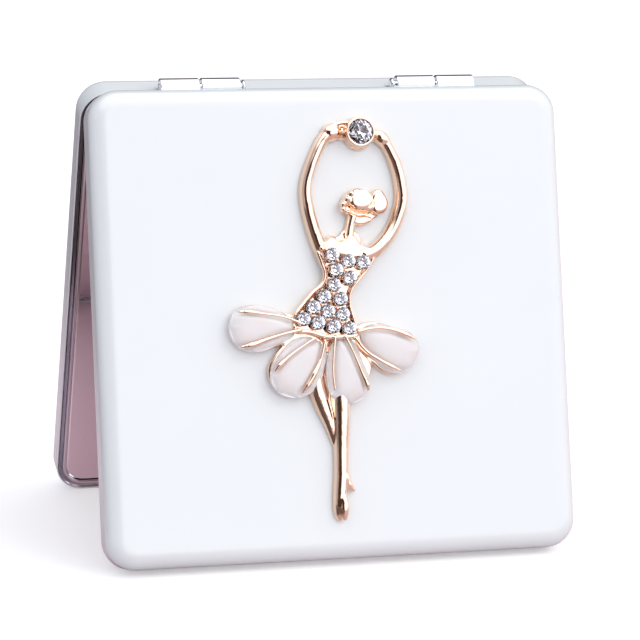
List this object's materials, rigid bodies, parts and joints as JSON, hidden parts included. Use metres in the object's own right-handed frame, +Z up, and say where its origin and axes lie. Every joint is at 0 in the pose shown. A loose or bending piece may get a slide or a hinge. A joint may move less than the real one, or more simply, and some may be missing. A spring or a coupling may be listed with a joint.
{
  "type": "folding compact mirror",
  "caption": "Square folding pocket mirror standing open as a tent: hinged white halves with bright rims and inner mirrors, and a flat-backed dancer ornament set with stones on the front cover.",
  "frame": {"origin": "on the table, under the middle of the mirror as it stands open as a tent (centre of its box in X and Y, its lowest edges at Z = 0)", "axes": "+X along the hinge axis, +Z up, -Y is the side the dancer faces"},
  "size_m": [0.065, 0.0472, 0.0628],
  "materials": {
    "white_lacquer": "smooth white lacquer, softly glossy",
    "chrome": "polished plate",
    "mirror_glass": "silvered glass",
    "foam": "closed-cell foam tape",
    "magnet": "nickel-plated disc",
    "rose_gold": "polished rose-gold plate on a casting",
    "clear_stone": "cut, foiled clear stone",
    "opal_petal": "milky white resin with a pink tint"
  },
  "bodies": {
    "front_half": {"front_cover": "white_lacquer", "front_tray": "chrome", "front_mirror": "mirror_glass", "front_backing_pad": "foam", "front_magnet_left": "magnet", "front_magnet_right": "magnet", "hinge_pin_left": "chrome", "hinge_pin_right": "chrome", "ballerina_casting": "rose_gold", "tutu_petal_left": "opal_petal", "tutu_petal_lower_left": "opal_petal", "tutu_petal_lower_middle": "opal_petal", "tutu_petal_right": "opal_petal", "hand_crystal": "clear_stone", "bodice_crystal_01": "clear_stone", "bodice_crystal_02": "clear_stone", "bodice_crystal_03": "clear_stone", "bodice_crystal_04": "clear_stone", "bodice_crystal_05": "clear_stone", "bodice_crystal_06": "clear_stone", "bodice_crystal_07": "clear_stone", "bodice_crystal_08": "clear_stone", "bodice_crystal_09": "clear_stone", "bodice_crystal_10": "clear_stone", "bodice_crystal_11": "clear_stone", "bodice_crystal_12": "clear_stone", "bodice_crystal_13": "clear_stone", "bodice_crystal_14": "clear_stone", "bodice_crystal_15": "clear_stone"},
    "rear_half": {"rear_cover": "white_lacquer", "rear_tray": "chrome", "rear_mirror": "mirror_glass", "rear_backing_pad": "foam", "rear_magnet_left": "magnet", "rear_magnet_right": "magnet"}
  },
  "joints": [
    {"name": "case_hinge", "type": "hinge", "parent": "front_half", "child": "rear_half", "pos_m": [0, 0.00044, 0.06151], "axis": [1, 0, 0], "range_deg": [-33, 147]}
  ]
}
